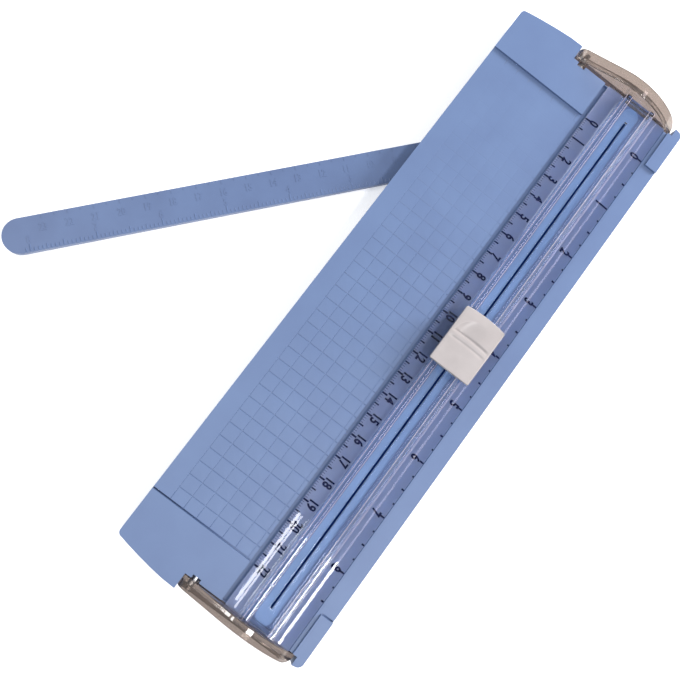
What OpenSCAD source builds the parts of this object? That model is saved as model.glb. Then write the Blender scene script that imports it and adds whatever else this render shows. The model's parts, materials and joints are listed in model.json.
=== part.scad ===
// Sliding paper trimmer with a clear lifting rail, a pressed cutter head and a swing-out ruler.
// X runs across the cutting line, Y along it and Z up. The origin is on the table, under the
// middle of the cutting line, on the face of the centre foot.

/* [Base] */
// Distance from the cutting line to the left edge of the base
base_left = 61.5; // [56:0.5:75]
// Distance from the cutting line to the right edge of the base
base_right = 22; // [21:0.5:30]
// Distance from mid-length to the corners of the two curved ends
end_half = 130; // [126:0.5:160]
// How far the middle of a curved end stands out past its corners
end_bulge = 4.5; // [3.5:0.1:7]
// Height of the end blocks above the table
base_h = 15; // [14:0.1:18]
// Depth of the paper bed below the end blocks
bed_drop = 1.2; // [0.6:0.1:2]
// Length between the two paper stops
stop_len = 220; // [200:1:230]
// Thickness of the deck
deck_t = 2.2; // [1.6:0.1:2.8]
// Thickness of the skirt walls
wall_t = 2.2; // [1.6:0.1:3]
// Thickness of the stiffening ribs
rib_t = 1.6; // [1:0.1:3]
// Depth of the stiffening ribs below the deck
rib_depth = 3; // [1.5:0.1:4]
// Number of stiffening ribs across the base
rib_count = 5; // [1:1:9]

/* [Cutting strip] */
// Width of the strip under the rail
strip_w = 7; // [5:0.1:9]
// Thickness of the strip
strip_t = 1.8; // [1.6:0.1:2.4]
// Distance from the strip's end to the outer face of the base's end wall
strip_set = 1.2; // [1:0.1:6]
// Width of the groove that the blade tip runs in
groove_w = 1; // [0.8:0.1:1.6]
// Depth of that groove
groove_depth = 1.4; // [1.2:0.1:1.5]

/* [Rail] */
// Width of the clear rail
rail_w = 29; // [27:0.1:31]
// Gap between the rail and each side of its trough
rail_side_gap = 2; // [1:0.1:2.4]
// Gap for the paper under the rail
paper_gap = 0.3; // [0.2:0.05:0.6]
// Thickness of the rail at its bevelled edges
rail_edge_t = 0.9; // [0.6:0.1:1.4]
// Thickness of the rail beside the track
rail_t = 2.1; // [1.8:0.1:2.5]
// Width of each bevel
bevel_w = 3.5; // [2:0.1:5]
// Thickness of the track's floor
floor_t = 1.3; // [1:0.1:1.6]
// Width between the track's lips
track_open = 9; // [8:0.1:10]
// Width between the track's webs
track_inner = 11.6; // [11:0.1:12.4]
// Height inside the track
track_h = 2.6; // [2.3:0.1:3.2]
// Thickness of the webs and lips
track_t = 1.2; // [0.8:0.1:1.4]
// Width of the blade's slot in the track's floor
slot_w = 1.2; // [0.9:0.1:1.6]
// Distance from the slot's ends to the rail's ends
slot_set = 8.5; // [8:0.1:14]

/* [End arms] */
// Distance from the cutting line to the hinge pins
hinge_off = 28.5; // [26:0.5:34]
// Depth of the hinge pins below the top of the end blocks
hinge_drop = 2.5; // [2:0.1:3.5]
// Diameter of the hinge pins
pin_d = 2.4; // [2:0.1:3]
// Length of a hinge pin inside the base
pin_seat = 9; // [7:0.1:12]
// Radius of the rounded hinge end of an arm
eye_r = 4.4; // [3.6:0.1:5]
// Radius of an arm's crown
crown_r = 28; // [26:0.5:30]
// Distance from the cutting line back to the top of an arm's crown
crown_off = 5; // [3:0.5:7]
// Height of the crown above the end blocks
crown_rise = 8.4; // [7.5:0.1:8.8]
// Distance from the cutting line to the free end of an arm
arm_right = 18; // [17:0.1:18.5]
// Thickness of the far arm beyond the rail's end
arm_far_t = 5.9; // [5:0.1:6.4]
// Thickness of the near arm beyond the rail's end
arm_near_t = 4.8; // [4.6:0.1:6.4]
// Radius of an arm's outer corner at its free end
arm_corner = 4; // [3:0.1:4.4]
// Gap between an arm and the side walls of its pocket
pocket_gap = 0.4; // [0.3:0.1:0.8]
// How far an arm's tongue reaches into the track
tongue_len = 3; // [2.5:0.1:6]
// Distance from the base's corners back to the end wall behind an arm
pocket_set = 2.8; // [1:0.1:3.2]
// Width of the notch over a hinge pin
notch_w = 3.6; // [3.2:0.1:5]
// Length of the notch over a hinge pin
notch_len = 1.4; // [1.2:0.1:3]

/* [Slider] */
// Place of the slider along the cutting line
slider_y = 3; // [-100:1:100]
// Travel of the cutter head when it is pressed
press_travel = 1.5; // [1.2:0.1:1.8]
// Width of the thumb cap
cap_w = 18.3; // [17.8:0.1:21]
// Length of the thumb cap
cap_len = 25.4; // [24:0.1:30]
// Thickness of the thumb cap over the track
cap_t = 2.6; // [2.2:0.1:4]
// Radius of the half-round thumb scoop
scoop_r = 7.2; // [5:0.1:8]
// Depth of the thumb scoop at the cross ridge
scoop_depth = 1.5; // [0.8:0.1:1.6]
// Distance from the cap's middle to the scoop's side of the cross ridge
ridge_far = 1.8; // [1.5:0.1:2.4]
// Distance from the cap's middle to the plain side of the cross ridge
ridge_near = 1.1; // [0.5:0.1:2]
// Drop of the cap's plain half towards its end
slope_drop = 1.1; // [0.5:0.1:1.4]
// Length of the shoe in the track
shoe_len = 23; // [21:0.1:24]
// Length of the shoe's neck between the lips
neck_len = 19; // [18:0.1:20]

/* [Cutter] */
// Length of the blade holder's stem along the cut
stem_len = 10; // [9.4:0.1:11]
// Width of the blade holder's stem
stem_w = 3.8; // [3:0.1:4.2]
// Reach of the holder's foot past its stem at each end
foot_lip = 1.7; // [1:0.1:2]
// Thickness of the holder's foot
holder_foot_t = 0.6; // [0.5:0.1:0.8]
// Diameter of the holder's pegs
peg_d = 2.2; // [1.6:0.1:2.4]
// Distance between the holder's two pegs
peg_pitch = 3.5; // [3:0.1:3.8]
// Length of the holder's pegs
peg_len = 1.3; // [0.8:0.1:1.6]
// Thickness of the blade
blade_t = 0.4; // [0.3:0.05:0.5]
// Length of the blade
blade_len = 8.4; // [7:0.1:8.8]
// Height of the blade inside the holder
blade_grip = 2.6; // [2:0.1:2.8]
// Diameter of the blade's cross pin
blade_pin_d = 1.2; // [0.8:0.1:1.4]
// Thickness of the leaf spring
spring_t = 0.25; // [0.2:0.05:0.35]
// Length of the leaf spring
spring_len = 16.8; // [15:0.1:17.6]

/* [Ruler] */
// Width of the ruler
ruler_w = 14; // [12:0.1:16]
// Thickness of the ruler
ruler_t = 2.8; // [2.5:0.1:3.4]
// Height of the ruler's underside above the table
ruler_lift = 2; // [1.8:0.1:2.6]
// Distance from the cutting line to the ruler's pivot
ruler_off = 18.5; // [16:0.1:20]
// Distance from the base's corners to the ruler's pivot along the cut
pivot_set = 27; // [24:0.5:32]
// Gap between the folded ruler's tip and the end wall
tip_gap = 0.5; // [0.4:0.1:8]
// Angle between the ruler and its folded place
ruler_open = 40; // [0:1:90]
// Diameter of the pivot pin
pivot_d = 6; // [5:0.1:7]
// Diameter of the pivot boss
boss_d = 10; // [9:0.1:12]
// Thickness of the ruler around its pivot
pivot_web = 1.6; // [1.4:0.1:1.8]
// Diameter of the washer
washer_d = 10; // [9:0.1:11]
// Thickness of the washer
washer_t = 0.6; // [0.4:0.1:0.7]
// Diameter of the screw's head
head_d = 5.6; // [5:0.1:6]
// Height of the screw's head
head_t = 1.1; // [0.8:0.1:1.2]
// Diameter of the screw's shank
screw_d = 2.6; // [2:0.1:3]
// Length of the screw's shank in the boss
screw_len = 6; // [4:0.1:7]

/* [Feet] */
// Diameter of a rubber foot
foot_d = 7; // [6:0.1:7.4]
// Height of the base's skirt above the table
foot_stand = 1.6; // [1.2:0.1:1.9]
// Diameter of a foot's peg
foot_peg_d = 3.6; // [2.6:0.1:4]
// Length of a foot's peg
foot_peg_len = 4; // [3:0.1:5]
// Diameter of the bosses that hold the feet
foot_boss_d = 8; // [7.6:0.1:9]
// Distance from the side edges of the base to the corner feet
foot_inset = 4.8; // [4.4:0.1:6]

/* [Fits] */
// Gap between pieces that move past each other
gap = 0.3; // [0.2:0.05:0.4]
// Radial clearance of a turning pin
running = 0.05; // [0.02:0.01:0.1]
// Radial clearance of a fixed peg or screw
fixed = 0.02; // [0.01:0.01:0.05]
// Gap around the ruler where it swings
swing_gap = 1; // [0.6:0.1:1.2]

/* [Hidden] */
$fn = 64;
big_fn = 360;
arc_steps = 24;
past = 1;

// The base's outline: straight sides between two circular ends
base_w = base_left + base_right;
mid_x = (base_right - base_left) / 2;
end_r = (base_w * base_w / 4 + end_bulge * end_bulge) / (2 * end_bulge);
end_cy = end_half + end_bulge - end_r;
end_tip = end_half + end_bulge;
stop_half = stop_len / 2;

// Levels from the table up
bed_z = base_h - bed_drop;
ceiling_z = bed_z - deck_t;
rib_z = ceiling_z - rib_depth;
strip_z = bed_z - strip_t;
beam_z = strip_z - deck_t;
rail_z = bed_z + paper_gap;
flat_z = rail_z + rail_t;
floor_z = rail_z + floor_t;
lip_z = floor_z + track_h;
track_z = lip_z + track_t;
hinge_z = base_h - hinge_drop;
crown_z = base_h + crown_rise - crown_r;
ruler_z = ruler_lift + ruler_t;

// End wall, pocket and rail
end_wall_y = end_half - pocket_set;
wall_in_y = end_wall_y - wall_t;
rail_half = end_wall_y + gap;
slot_len = 2 * (rail_half - slot_set);
pocket_left = -hinge_off - eye_r - pocket_gap;
pocket_right = arm_right + pocket_gap;
trough_half = rail_w / 2 + rail_side_gap;
web_in = track_inner / 2;
web_out = web_in + track_t;
lug_half = pin_d / 2 + wall_t;

// Ruler and its pivot
pivot_y = end_half - pivot_set;
ruler_reach = pivot_y + wall_in_y - tip_gap;
shoulder_z = ruler_z + gap;
seat_z = ruler_z - pivot_web;
pin_end_z = seat_z - running;
washer_z = pin_end_z - washer_t;
head_z = washer_z - head_t;
recess_d = washer_d + 2 * swing_gap;
sweep_r = ruler_reach + swing_gap;
exit_low = pivot_y - sqrt(pow(sweep_r, 2) - pow(base_left - wall_t - ruler_off, 2));
exit_high = pivot_y + ruler_w / 2 + swing_gap;
exit_z = ruler_z + swing_gap;

// Feet: the left ones stay outside the ruler's sweep
left_foot_x = foot_inset - base_left;
right_foot_x = base_right - foot_inset;
left_foot_y = sqrt(pow(sweep_r + foot_boss_d / 2, 2) - pow(left_foot_x + ruler_off, 2)) - pivot_y;
right_foot_y = wall_in_y + wall_t / 2 - foot_boss_d / 2;
FEET = [
    ["foot_far_left", left_foot_x, left_foot_y],
    ["foot_far_right", right_foot_x, right_foot_y],
    ["foot_near_left", left_foot_x, -left_foot_y],
    ["foot_near_right", right_foot_x, -right_foot_y],
    ["foot_centre", 0, 0],
];

// Slider and cutter levels at rest
cap_z = track_z + press_travel + gap + gap;
cap_top = cap_z + cap_t;
cap_skirt_z = flat_z + press_travel + gap + gap;
cap_hollow = web_out + gap + gap;
shoe_z = floor_z + gap;
shoe_top = lip_z - gap;
neck_top = track_z + gap;
holder_z = floor_z + gap + press_travel;
holder_foot_z = holder_z + holder_foot_t;
ledge_z = holder_foot_z + gap;
blade_tip_z = rail_z + gap;
blade_top_z = holder_foot_z + blade_grip;
blade_pin_z = holder_foot_z + blade_grip / 2;
scoop_ball = (scoop_r * scoop_r + scoop_depth * scoop_depth) / (2 * scoop_depth);
spring_rise = cap_z - neck_top - 2 * fixed;
spring_r = (spring_len * spring_len / 4 + spring_rise * spring_rise) / (2 * spring_rise);

blue = "#7F99CB";
deep_blue = "#5D7DB8";
clear = [0.82, 0.86, 0.9, 0.45];
white = "#DDD3D1";
steel = "#B9BCC0";
rubber = "#3A3C40";

// A box between two corners
module box(low, high) {
    translate(low) cube(high - low);
}

// A round bar along Y between two stations
module bar_y(d, x, z, from, to) {
    translate([x, to, z]) rotate([90, 0, 0]) cylinder(d = d, h = to - from);
}

// A flat shape in X and Z, drawn out along Y between two stations
module drawn_y(from, to) {
    translate([0, to, 0]) rotate([90, 0, 0]) linear_extrude(to - from) children();
}

// What stands at the far end, and its mirror image at the near end
module both_ends() {
    children();
    mirror([0, 1, 0]) children();
}

// A strip's outline along Y with round ends
module round_strip(w, half) {
    square([w, 2 * half - w], center = true);
    for (side = [-1, 1]) translate([0, side * (half - w / 2)]) circle(d = w);
}

// The base's outline, drawn in by an inset
module base_plan(inset = 0) {
    intersection() {
        translate([inset - base_left, -end_tip]) square([base_w - 2 * inset, 2 * end_tip]);
        translate([mid_x, end_cy]) circle(r = end_r - inset, $fn = big_fn);
        translate([mid_x, -end_cy]) circle(r = end_r - inset, $fn = big_fn);
    }
}

// The hollow under the deck, which leaves the end pockets their own walls
module hollow_plan() {
    difference() {
        base_plan(wall_t);
        for (side = [0, 1]) mirror([0, side])
            translate([pocket_left - wall_t, wall_in_y]) square([base_w, end_tip]);
    }
}

module base_ribs() {
    beam_half = strip_w / 2 + wall_t;
    box([-beam_half, -wall_in_y - past, beam_z], [beam_half, wall_in_y + past, ceiling_z + past]);
    box([-rib_t / 2, -wall_in_y - past, foot_stand], [rib_t / 2, wall_in_y + past, beam_z + past]);
    for (i = [1 : rib_count]) {
        y = stop_len * (i / (rib_count + 1) - 0.5);
        box([wall_t / 2 - base_left, y - rib_t / 2, rib_z],
            [base_right - wall_t / 2, y + rib_t / 2, ceiling_z + past]);
    }
}

module base_bosses() {
    for (f = FEET) translate([f[1], f[2], foot_stand])
        cylinder(d = foot_boss_d, h = ceiling_z + past - foot_stand);
    translate([-ruler_off, pivot_y, shoulder_z]) cylinder(d = boss_d, h = ceiling_z + past - shoulder_z);
    translate([-ruler_off, pivot_y, pin_end_z]) cylinder(d = pivot_d, h = ceiling_z - pin_end_z);
    both_ends()
        box([-hinge_off - lug_half, end_wall_y - pin_seat - wall_t, hinge_z - lug_half],
            [-hinge_off + lug_half, wall_in_y + past, ceiling_z + past]);
}

// Everything cut from the top: bed, trough, strip channel, arm pockets and hinge notches
module base_top_cuts() {
    box([-base_left - past, -stop_half, bed_z], [base_right + past, stop_half, base_h + past]);
    box([-trough_half, -end_tip - past, bed_z], [trough_half, end_tip + past, base_h + past]);
    translate([0, 0, strip_z]) linear_extrude(strip_t + past)
        round_strip(strip_w + 2 * fixed, end_wall_y - strip_set + fixed);
    both_ends() {
        box([pocket_left, end_wall_y, 0], [pocket_right, end_tip + past, base_h + past]);
        box([-hinge_off - notch_w / 2, end_wall_y - notch_len, hinge_z - notch_w / 2],
            [-hinge_off + notch_w / 2, end_wall_y + past, base_h + past]);
        bar_y(pin_d + 2 * running, -hinge_off, hinge_z, end_wall_y - pin_seat - gap, end_wall_y + past);
    }
}

// Everything cut from below and from the side: ruler exit, peg holes and screw hole
module base_low_cuts() {
    box([-base_left - past, exit_low, 0], [wall_t - base_left + past, exit_high, exit_z]);
    for (f = FEET) translate([f[1], f[2], foot_stand - past])
        cylinder(d = foot_peg_d + 2 * fixed, h = foot_peg_len + gap + past);
    translate([-ruler_off, pivot_y, pin_end_z - past])
        cylinder(d = screw_d + 2 * fixed, h = screw_len + gap + past);
}

// The moulded base: deck, end blocks, skirt, ribs and bosses in one piece
module base_shell() {
    color(blue) difference() {
        union() {
            difference() {
                translate([0, 0, foot_stand]) linear_extrude(base_h - foot_stand) base_plan();
                translate([0, 0, foot_stand - past])
                    linear_extrude(ceiling_z - foot_stand + past) hollow_plan();
            }
            base_ribs();
            base_bosses();
        }
        base_top_cuts();
        base_low_cuts();
    }
}

// The strip under the rail, with the groove for the blade tip
module cutting_strip() {
    color(deep_blue) translate([0, 0, strip_z]) difference() {
        linear_extrude(strip_t) round_strip(strip_w, end_wall_y - strip_set);
        translate([0, 0, strip_t - groove_depth]) linear_extrude(groove_depth + past)
            square([groove_w, slot_len], center = true);
    }
}

// The clear rail: bevelled scale strips and a track with inward lips
module guide_rail() {
    half = [
        [rail_w / 2, rail_z], [rail_w / 2, rail_z + rail_edge_t], [rail_w / 2 - bevel_w, flat_z],
        [web_out, flat_z], [web_out, track_z], [track_open / 2, track_z],
        [track_open / 2, lip_z], [web_in, lip_z], [web_in, floor_z],
    ];
    last = len(half) - 1;
    color(clear) difference() {
        drawn_y(-rail_half, rail_half)
            polygon(concat(half, [for (i = [0 : last]) [-half[last - i][0], half[last - i][1]]]));
        box([-slot_w / 2, -slot_len / 2, rail_z - past], [slot_w / 2, slot_len / 2, floor_z + past]);
    }
}

// Points on a circle from one angle to another, both included
function arc(centre, r, from, to, steps) =
    [for (i = [0 : steps]) let (a = from + (to - from) * i / steps) centre + r * [cos(a), sin(a)]];

// An arm's side view: a round hinge end and a round crown, joined by their common tangent
module arm_side() {
    eye_at = [-hinge_off, hinge_z];
    crown_at = [-crown_off, crown_z];
    span = crown_at - eye_at;
    lean = atan2(span[1], span[0]) + asin((crown_r - eye_r) / norm(span));
    eye = arc(eye_at, eye_r, 270, 90 + lean, arc_steps);
    crown = arc(crown_at, crown_r, 90 + lean, acos((arm_right + crown_off) / crown_r), arc_steps);
    polygon(concat(eye, crown, [[arm_right, hinge_z - eye_r]]));
}

// An arm's plan, of a thickness beyond the rail, with a round corner at its free end
module arm_plan(thick) {
    hull() {
        translate([pocket_left, rail_half]) square([past, thick]);
        translate([arm_right - arm_corner, rail_half + thick - arm_corner]) circle(r = arm_corner);
        translate([arm_right - past, rail_half]) square([past, thick - arm_corner]);
    }
}

// A clear end arm at the far end, with the tongue that closes the track
module end_arm(thick) {
    color(clear) difference() {
        union() {
            intersection() {
                drawn_y(rail_half, end_tip) arm_side();
                linear_extrude(base_h * 2) arm_plan(thick);
            }
            box([fixed - web_in, rail_half - tongue_len, floor_z + fixed],
                [web_in - fixed, rail_half + past, lip_z - fixed]);
        }
        bar_y(pin_d + 2 * fixed, -hinge_off, hinge_z, rail_half - past, end_tip + past);
    }
}

// A hinge pin at the far end, fast in the arm and turning in the base
module hinge_pin(thick) {
    color(steel) bar_y(pin_d, -hinge_off, hinge_z, end_wall_y - pin_seat, rail_half + thick - gap);
}

// The shoe under the track's lips, with a window for the blade holder
module slider_shoe() {
    foot_half = web_in - gap;
    neck_half = track_open / 2 - gap;
    hole_w = stem_w / 2 + gap;
    hole_len = stem_len / 2 + gap;
    color(white) translate([0, slider_y, 0]) difference() {
        union() {
            box([-foot_half, -shoe_len / 2, shoe_z], [foot_half, shoe_len / 2, shoe_top]);
            box([-neck_half, -neck_len / 2, shoe_z], [neck_half, neck_len / 2, neck_top]);
        }
        box([-hole_w, -hole_len, shoe_z - past], [hole_w, hole_len, neck_top + past]);
        box([-hole_w, -hole_len - foot_lip, shoe_z - past], [hole_w, hole_len + foot_lip, ledge_z]);
    }
}

// The thumb cap: open below for the track, with a scoop, a cross ridge and a plain sloping half
module slider_cap() {
    half_len = cap_len / 2;
    slope = slope_drop / (half_len - ridge_near);
    color(white) translate([0, slider_y, 0]) difference() {
        box([-cap_w / 2, -half_len, cap_skirt_z], [cap_w / 2, half_len, cap_top]);
        box([-cap_hollow, -half_len - past, cap_skirt_z - past], [cap_hollow, half_len + past, cap_z]);
        intersection() {
            translate([0, ridge_far, cap_top - scoop_depth + scoop_ball]) sphere(r = scoop_ball, $fn = 128);
            box([-scoop_r, ridge_far, cap_z], [scoop_r, half_len, cap_top + past]);
        }
        translate([-cap_w / 2 - past, 0, cap_top]) rotate([90, 0, 90]) linear_extrude(cap_w + 2 * past)
            polygon([[-ridge_near, 0], [-ridge_near, past], [-half_len - past, past],
                [-half_len - past, -slope_drop - slope * past]]);
        holder_pegs(fixed);
    }
}

// The two pegs that fix the blade holder under the cap
module holder_pegs(extra) {
    for (y = [0, -peg_pitch]) translate([0, y, cap_z - past])
        cylinder(d = peg_d + 2 * extra, h = peg_len + extra + past);
}

// The holder: a stem through the shoe, a foot that keeps it from lifting out and a slit for the blade
module blade_holder() {
    color(white) translate([0, slider_y, 0]) difference() {
        union() {
            box([-stem_w / 2, -stem_len / 2, holder_z], [stem_w / 2, stem_len / 2, cap_z]);
            box([-stem_w / 2, -stem_len / 2 - foot_lip, holder_z],
                [stem_w / 2, stem_len / 2 + foot_lip, holder_foot_z]);
            holder_pegs(0);
        }
        box([-blade_t / 2 - fixed, -blade_len / 2 - fixed, holder_z - past],
            [blade_t / 2 + fixed, blade_len / 2 + fixed, blade_top_z + fixed]);
        blade_cross(blade_pin_d + 2 * fixed, stem_w + 2 * past);
    }
}

// A round bar across the blade, for the pin and the holes that it goes through
module blade_cross(d, length) {
    translate([-length / 2, 0, blade_pin_z]) rotate([0, 90, 0]) cylinder(d = d, h = length);
}

// The blade: a plate with one point, which cuts both ways
module blade() {
    color(steel) translate([0, slider_y, 0]) difference() {
        translate([-blade_t / 2, 0, 0]) rotate([90, 0, 90]) linear_extrude(blade_t)
            polygon([[0, blade_tip_z], [blade_len / 2, holder_z], [blade_len / 2, blade_top_z],
                [-blade_len / 2, blade_top_z], [-blade_len / 2, holder_z]]);
        blade_cross(blade_pin_d + 2 * fixed, blade_t + 2 * past);
    }
}

// The cross pin that holds the blade in its holder
module blade_pin() {
    color(steel) translate([0, slider_y, 0]) blade_cross(blade_pin_d, stem_w);
}

// The arched leaf spring between the shoe and the cap, open round the holder's stem
module return_spring() {
    half_w = track_open / 2 - 2 * gap;
    open_w = stem_w / 2 + 2 * gap;
    open_len = stem_len / 2 + 2 * gap;
    color(steel) translate([0, slider_y, 0]) difference() {
        intersection() {
            translate([-half_w, 0, cap_z - fixed - spring_r]) rotate([0, 90, 0]) difference() {
                cylinder(r = spring_r, h = 2 * half_w, $fn = big_fn);
                translate([0, 0, -past])
                    cylinder(r = spring_r - spring_t, h = 2 * (half_w + past), $fn = big_fn);
            }
            box([-half_w, -spring_len / 2, neck_top + fixed], [half_w, spring_len / 2, cap_z]);
        }
        box([-open_w, -open_len, neck_top], [open_w, open_len, cap_z]);
    }
}

// The ruler, drawn folded along the base and then swung out about its pivot
module ruler_arm() {
    straight = ruler_reach - ruler_w / 2;
    color(blue) translate([-ruler_off, pivot_y, ruler_lift]) rotate([0, 0, -ruler_open]) difference() {
        linear_extrude(ruler_t) {
            circle(d = ruler_w);
            translate([-ruler_w / 2, -straight]) square([ruler_w, straight]);
            translate([0, -straight]) circle(d = ruler_w);
        }
        translate([0, 0, -past]) cylinder(d = pivot_d + 2 * running, h = ruler_t + 2 * past);
        translate([0, 0, -past]) cylinder(d = recess_d, h = ruler_t - pivot_web + past);
    }
}

// The screw that closes the ruler's pivot from below
module ruler_screw() {
    color(steel) translate([-ruler_off, pivot_y, head_z]) {
        cylinder(d = head_d, h = head_t);
        cylinder(d = screw_d, h = head_t + washer_t + screw_len);
    }
}

// The washer between the screw's head and the pivot pin
module ruler_washer() {
    color(steel) translate([-ruler_off, pivot_y, washer_z]) difference() {
        cylinder(d = washer_d, h = washer_t);
        translate([0, 0, -past]) cylinder(d = screw_d + 2 * fixed, h = washer_t + 2 * past);
    }
}

// A rubber foot with a peg that is pushed into its boss
module foot(x, y) {
    color(rubber) translate([x, y, 0]) {
        cylinder(d = foot_d, h = foot_stand);
        cylinder(d = foot_peg_d, h = foot_stand + foot_peg_len);
    }
}

base_shell();
cutting_strip();
guide_rail();
end_arm(arm_far_t);  // end_arm_far
mirror([0, 1, 0]) end_arm(arm_near_t);  // end_arm_near
hinge_pin(arm_far_t);  // hinge_pin_far
mirror([0, 1, 0]) hinge_pin(arm_near_t);  // hinge_pin_near
slider_shoe();
slider_cap();
blade_holder();
blade();
blade_pin();
return_spring();
ruler_arm();
ruler_screw();
ruler_washer();
for (f = FEET) foot(f[1], f[2]);
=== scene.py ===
"""A sliding paper trimmer: the looks of its pieces, in metres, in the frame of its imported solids."""
import json
import math

import bmesh
import bpy
import numpy as np
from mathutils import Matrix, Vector


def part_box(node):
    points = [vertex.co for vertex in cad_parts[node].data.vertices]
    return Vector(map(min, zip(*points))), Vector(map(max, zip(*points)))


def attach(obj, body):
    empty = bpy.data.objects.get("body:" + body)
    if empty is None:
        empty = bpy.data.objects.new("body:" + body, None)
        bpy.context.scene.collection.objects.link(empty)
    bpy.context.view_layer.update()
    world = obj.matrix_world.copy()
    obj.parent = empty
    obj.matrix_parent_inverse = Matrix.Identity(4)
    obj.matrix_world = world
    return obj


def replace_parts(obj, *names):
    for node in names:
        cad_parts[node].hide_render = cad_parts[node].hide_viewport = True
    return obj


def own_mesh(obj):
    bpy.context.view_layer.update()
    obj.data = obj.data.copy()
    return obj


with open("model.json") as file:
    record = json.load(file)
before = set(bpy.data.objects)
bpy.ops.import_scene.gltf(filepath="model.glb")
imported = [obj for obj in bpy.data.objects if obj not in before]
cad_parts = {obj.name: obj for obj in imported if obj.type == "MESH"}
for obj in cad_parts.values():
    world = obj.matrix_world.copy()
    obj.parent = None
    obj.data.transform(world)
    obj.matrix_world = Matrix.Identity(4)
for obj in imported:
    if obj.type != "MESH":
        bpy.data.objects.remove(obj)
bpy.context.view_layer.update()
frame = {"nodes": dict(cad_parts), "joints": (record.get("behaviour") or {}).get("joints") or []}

# The stage: a matt white paper sweep under a pale even sky. A key softbox at the far right stays out of
# mirror reflections, a fill stands at the far left, and four overhead draw the streaks on the clear rail.
# The camera hangs above the near left and looks nearly straight down.
MM = 0.001
FLOOR_DROP = 0.05 * MM
FLOOR_HALF = 3.0
FLOOR_MOTTLE = 0.3
FLOOR_GLOW = 0.5
SKY_COLOUR = "#F4F6FA"
SKY_STRENGTH = 0.54
CAMERA_AT = (-51.8 * MM, -75.3 * MM, 345.3 * MM)
CAMERA_TURN = (5.72, -7.01, 37.03)
CAMERA_LENS = 46.34
CAMERA_SENSOR = 36.0
CAMERA_NEAR = 0.01
# Each softbox: its name, place, size along Y and across, watts, colour, and whether mirrors show it.
SOFTBOXES = (
    ("right_far_softbox", (0.55, 0.77, 0.4), (0.36, 0.4), 19.8, "#FFFAF6", False),
    ("far_left_softbox", (-0.95, 1.1, 0.62), (1.2, 0.5), 5.0, "#FFFFFF", True),
    ("right_line_softbox", (0.37, 0.24, 1.0), (1.1, 0.12), 2.2, "#FFF0F0", True),
    ("outer_streak_softbox", (-0.46, -0.2, 1.0), (0.165, 0.2), 1.8, "#FFFFFF", True),
    ("inner_streak_softbox", (-0.25, -0.2, 1.0), (0.165, 0.07), 0.6, "#FFFFFF", True),
    ("right_streak_softbox", (0.33, -0.22, 1.0), (0.16, 0.16), 3.0, "#FFFFFF", True),
)
scene = bpy.context.scene


def srgb(code):
    """Linear RGBA of an sRGB hex colour: a straight foot, then the 2.4 power curve."""
    c = np.array([int(code[i:i + 2], 16) for i in (1, 3, 5)]) / 255
    linear = np.where(c <= 0.04045, c / 12.92, ((c + 0.055) / 1.055) ** 2.4)
    return (*linear.tolist(), 1.0)


def add_node(tree, kind, values, links):
    """Adds a shader node, sets its inputs, properties or colour stops by name, and links its inputs."""
    node = tree.nodes.new("ShaderNode" + kind)
    for name, value in values.items():
        if name == "stops":
            for element, (place, code) in zip(node.color_ramp.elements, value):
                element.position = place
                element.color = srgb(code)
        elif name in node.inputs:
            node.inputs[name].default_value = value
        else:
            setattr(node, name, value)
    for name, source in links.items():
        tree.links.new(source, node.inputs[name])
    return node


def new_material(name):
    """An empty node material, with its tree and the socket of its Object coordinates."""
    material = bpy.data.materials.new(name)
    material.use_nodes = True
    tree = material.node_tree
    tree.nodes.clear()
    coords = add_node(tree, "TexCoord", {}, {}).outputs["Object"]
    return material, tree, coords


def finish_material(tree, shader):
    """Links a shader to the material's output."""
    add_node(tree, "OutputMaterial", {}, {"Surface": shader.outputs[0]})


def softbox(name, at, size, watts, colour, mirrored):
    """A rectangular area light, its first side along Y, facing the middle line, shown in mirrors or not."""
    light = bpy.data.lights.new(name, "AREA")
    light.shape = "RECTANGLE"
    light.size, light.size_y = size
    light.energy = watts
    light.color = srgb(colour)[:3]
    lamp = bpy.data.objects.new(name, light)
    lamp.location = at
    lamp.rotation_mode = "QUATERNION"
    lamp.rotation_quaternion = Vector((-at[0], 0, -at[2])).to_track_quat("-Z", "Y")
    lamp.visible_glossy = mirrored
    scene.collection.objects.link(lamp)


# Matt white paper: flat and slightly mottled, with a faint glow that keeps it white in the far corners.
floor_white, floor_tree, floor_coords = new_material("matt white paper sweep")
floor_mottle = add_node(
    floor_tree, "TexNoise", {"Scale": 1 / FLOOR_MOTTLE, "Detail": 2.0}, {"Vector": floor_coords}
)
floor_tone = add_node(
    floor_tree, "ValToRGB", {"stops": ((0.3, "#F1F1F0"), (0.7, "#F6F6F5"))},
    {"Fac": floor_mottle.outputs["Fac"]},
)
floor_shader = add_node(
    floor_tree, "BsdfPrincipled",
    {"Roughness": 0.9, "Specular IOR Level": 0.2, "Emission Strength": FLOOR_GLOW},
    {"Base Color": floor_tone.outputs["Color"], "Emission Color": floor_tone.outputs["Color"]},
)
finish_material(floor_tree, floor_shader)
floor_mesh = bpy.data.meshes.new("studio_floor")
floor_corners = FLOOR_HALF * np.array([[-1, -1, 0], [1, -1, 0], [1, 1, 0], [-1, 1, 0]]) - [0, 0, FLOOR_DROP]
floor_mesh.from_pydata(floor_corners.tolist(), [], [(0, 1, 2, 3)])
floor_mesh.materials.append(floor_white)
floor = bpy.data.objects.new("studio_floor", floor_mesh)
scene.collection.objects.link(floor)

scene.world = bpy.data.worlds.new("pale studio sky")
scene.world.use_nodes = True
sky = scene.world.node_tree.nodes["Background"]
sky.inputs["Color"].default_value = srgb(SKY_COLOUR)
sky.inputs["Strength"].default_value = SKY_STRENGTH
for box in SOFTBOXES:
    softbox(*box)
scene.view_settings.view_transform = "Standard"

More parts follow.
